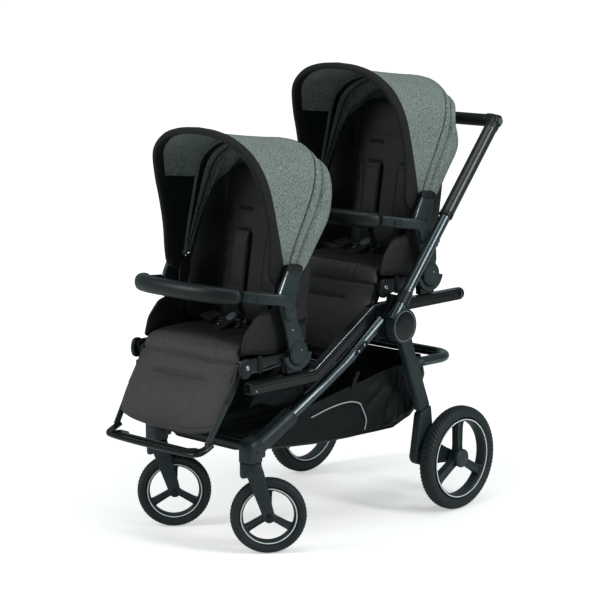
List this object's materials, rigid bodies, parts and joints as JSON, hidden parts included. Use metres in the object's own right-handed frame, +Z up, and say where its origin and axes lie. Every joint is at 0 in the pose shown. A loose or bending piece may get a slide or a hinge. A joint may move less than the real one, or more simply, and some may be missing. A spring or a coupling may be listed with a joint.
{
  "type": "tandem pushchair",
  "caption": "Tandem pushchair: two hooded seats one behind the other on a folding chassis with swivel casters, basket and sliding handle.",
  "frame": {"origin": "on the floor, under the middle of the whole pushchair", "axes": "+Z up, -Y forwards (foot rest), +Y towards the handle, +X to the sitting child's left"},
  "size_m": [0.612, 1.063, 1.2114],
  "materials": {
    "tyre": "matt moulded tread",
    "rim_plastic": "satin moulded black-grey",
    "casting": "satin dark grey moulding",
    "gunmetal_tube": "satin gunmetal powder coat",
    "black_tube": "satin black",
    "gloss_black": "gloss black",
    "steel": "plain steel",
    "seat_cloth": "dark brown-grey woven",
    "legrest_cloth": "brown-grey woven",
    "melange_cloth": "grey melange",
    "basket_cloth": "black woven",
    "bar_cover": "satin black-green leatherette",
    "button_grey": "satin grey"
  },
  "bodies": {
    "chassis": {"front_tube_left": "gunmetal_tube", "front_tube_right": "gunmetal_tube", "front_casting_left": "casting", "front_casting_right": "casting", "hub_casting_left": "casting", "hub_casting_right": "casting", "hub_discs": "gloss_black", "push_tubes": "gunmetal_tube", "rail_left": "gloss_black", "rail_right": "gloss_black", "rail_caps": "gloss_black", "front_crossbar": "black_tube", "hub_crossbar": "black_tube", "basket_tub": "basket_cloth", "front_seat_frame": "casting", "front_seat_cushion": "seat_cloth", "front_buckle": "casting", "rear_seat_frame": "casting", "rear_seat_cushion": "seat_cloth", "rear_buckle": "casting"},
    "rear_frame": {"rear_leg_left": "gunmetal_tube", "rear_leg_right": "gunmetal_tube", "rear_foot_left": "casting", "rear_foot_right": "casting", "basket_hoop": "gunmetal_tube", "basket_panel": "basket_cloth"},
    "brake": {"brake_pedal": "casting"},
    "handle": {"handle_sleeves": "black_tube", "handle_corners": "gloss_black", "handle_grip": "black_tube"},
    "height_button_l": {"height_button_left": "button_grey"},
    "height_button_r": {"height_button_right": "button_grey"},
    "rear_wheel_l": {"rear_tyre_left": "tyre", "rear_rim_left": "rim_plastic"},
    "rear_wheel_r": {"rear_tyre_right": "tyre", "rear_rim_right": "rim_plastic"},
    "caster_l": {"caster_fork_left": "casting"},
    "caster_r": {"caster_fork_right": "casting"},
    "front_wheel_l": {"front_tyre_left": "tyre", "front_rim_left": "rim_plastic"},
    "front_wheel_r": {"front_tyre_right": "tyre", "front_rim_right": "rim_plastic"},
    "front_back": {"front_backrest": "seat_cloth", "front_seat_arms": "casting", "front_canopy_fabric": "melange_cloth"},
    "front_bumper": {"front_bumper_bar": "bar_cover"},
    "front_bumper_catch": {"front_bumper_button": "button_grey"},
    "front_legrest": {"front_legrest_frame": "casting", "front_legrest_cushion": "legrest_cloth"},
    "front_mid_bow": {"front_canopy_mid_bow": "black_tube"},
    "front_front_bow": {"front_canopy_bow": "black_tube"},
    "rear_back": {"rear_backrest": "seat_cloth", "rear_seat_arms": "casting", "rear_canopy_fabric": "melange_cloth"},
    "rear_bumper": {"rear_bumper_bar": "bar_cover"},
    "rear_bumper_catch": {"rear_bumper_button": "button_grey"},
    "rear_legrest": {"rear_legrest_frame": "gunmetal_tube", "rear_legrest_cushion": "gunmetal_tube"},
    "rear_mid_bow": {"rear_canopy_mid_bow": "black_tube"},
    "rear_front_bow": {"rear_canopy_bow": "black_tube"}
  },
  "joints": [
    {"name": "rear_leg_fold", "type": "hinge", "parent": "chassis", "child": "rear_frame", "pos_m": [0, 0.135, 0.524], "axis": [-1, 0, 0], "range_deg": [0, 45], "deforming": ["basket_panel"]},
    {"name": "brake_press", "type": "hinge", "parent": "rear_frame", "child": "brake", "pos_m": [0, 0.212, 0.159], "axis": [-1, 0, 0], "range_deg": [0, 12]},
    {"name": "rear_wheel_spin_left", "type": "hinge", "parent": "rear_frame", "child": "rear_wheel_l", "pos_m": [0.283, 0.33, 0.141], "axis": [1, 0, 0], "continuous": true},
    {"name": "caster_swivel_left", "type": "hinge", "parent": "chassis", "child": "caster_l", "pos_m": [0.173, -0.344, 0.2], "axis": [0, 0, 1], "continuous": true},
    {"name": "front_wheel_spin_left", "type": "hinge", "parent": "caster_l", "child": "front_wheel_l", "pos_m": [0.20128, -0.31029, 0.097], "axis": [0.766, -0.6428, 0], "continuous": true},
    {"name": "height_button_press_left", "type": "slide", "parent": "handle", "child": "height_button_l", "axis": [-1, 0, 0], "range_m": [0, 0.003], "stiffness_N_per_m": 400, "springref_m": -0.0005},
    {"name": "rear_wheel_spin_right", "type": "hinge", "parent": "rear_frame", "child": "rear_wheel_r", "pos_m": [-0.283, 0.33, 0.141], "axis": [1, 0, 0], "continuous": true},
    {"name": "caster_swivel_right", "type": "hinge", "parent": "chassis", "child": "caster_r", "pos_m": [-0.173, -0.344, 0.2], "axis": [0, 0, 1], "continuous": true},
    {"name": "front_wheel_spin_right", "type": "hinge", "parent": "caster_r", "child": "front_wheel_r", "pos_m": [-0.14472, -0.31029, 0.097], "axis": [0.766, -0.6428, 0], "continuous": true},
    {"name": "height_button_press_right", "type": "slide", "parent": "handle", "child": "height_button_r", "axis": [1, 0, 0], "range_m": [0, 0.003], "stiffness_N_per_m": 400, "springref_m": -0.0005},
    {"name": "handle_slide", "type": "slide", "parent": "chassis", "child": "handle", "axis": [0, -0.6429, -0.7659], "range_m": [-0.045, 0.045]},
    {"name": "front_recline", "type": "hinge", "parent": "chassis", "child": "front_back", "pos_m": [0, -0.215, 0.5005], "axis": [-1, 0, 0], "range_deg": [0, 10]},
    {"name": "front_bumper_raise", "type": "hinge", "parent": "front_back", "child": "front_bumper", "pos_m": [0, -0.252, 0.607], "axis": [-1, 0, 0], "range_deg": [0, 28]},
    {"name": "front_bumper_button_press", "type": "slide", "parent": "front_bumper", "child": "front_bumper_catch", "axis": [-0.7894, 0.6139, 0], "range_m": [0, 0.0025], "stiffness_N_per_m": 400, "springref_m": -0.0005},
    {"name": "front_legrest_raise", "type": "hinge", "parent": "chassis", "child": "front_legrest", "pos_m": [0, -0.381, 0.482], "axis": [-1, 0, 0], "range_deg": [0, 60]},
    {"name": "front_canopy_fold", "type": "hinge", "parent": "front_back", "child": "front_mid_bow", "pos_m": [0, -0.242, 0.694], "axis": [-1, 0, 0], "range_deg": [0, 26], "deforming": ["front_canopy_fabric"]},
    {"name": "front_canopy_front_fold", "type": "hinge", "parent": "front_mid_bow", "child": "front_front_bow", "pos_m": [0, -0.242, 0.694], "axis": [-1, 0, 0], "range_deg": [0, 26]},
    {"name": "rear_recline", "type": "hinge", "parent": "chassis", "child": "rear_back", "pos_m": [0, 0.294, 0.6375], "axis": [-1, 0, 0], "range_deg": [0, 6]},
    {"name": "rear_bumper_raise", "type": "hinge", "parent": "rear_back", "child": "rear_bumper", "pos_m": [0, 0.257, 0.744], "axis": [-1, 0, 0], "range_deg": [0, 28]},
    {"name": "rear_bumper_button_press", "type": "slide", "parent": "rear_bumper", "child": "rear_bumper_catch", "axis": [-0.7894, 0.6139, 0], "range_m": [0, 0.0025], "stiffness_N_per_m": 400, "springref_m": -0.0005},
    {"name": "rear_legrest_raise", "type": "hinge", "parent": "chassis", "child": "rear_legrest", "pos_m": [0, 0.128, 0.619], "axis": [-1, 0, 0], "range_deg": [0, 20]},
    {"name": "rear_canopy_fold", "type": "hinge", "parent": "rear_back", "child": "rear_mid_bow", "pos_m": [0, 0.267, 0.831], "axis": [-1, 0, 0], "range_deg": [0, 24], "deforming": ["rear_canopy_fabric"]},
    {"name": "rear_canopy_front_fold", "type": "hinge", "parent": "rear_mid_bow", "child": "rear_front_bow", "pos_m": [0, 0.267, 0.831], "axis": [-1, 0, 0], "range_deg": [0, 24]}
  ],
  "couplings": [
    {"joint": "front_canopy_front_fold", "follows": "front_canopy_fold", "ratio": 1},
    {"joint": "rear_canopy_front_fold", "follows": "rear_canopy_fold", "ratio": 1}
  ]
}
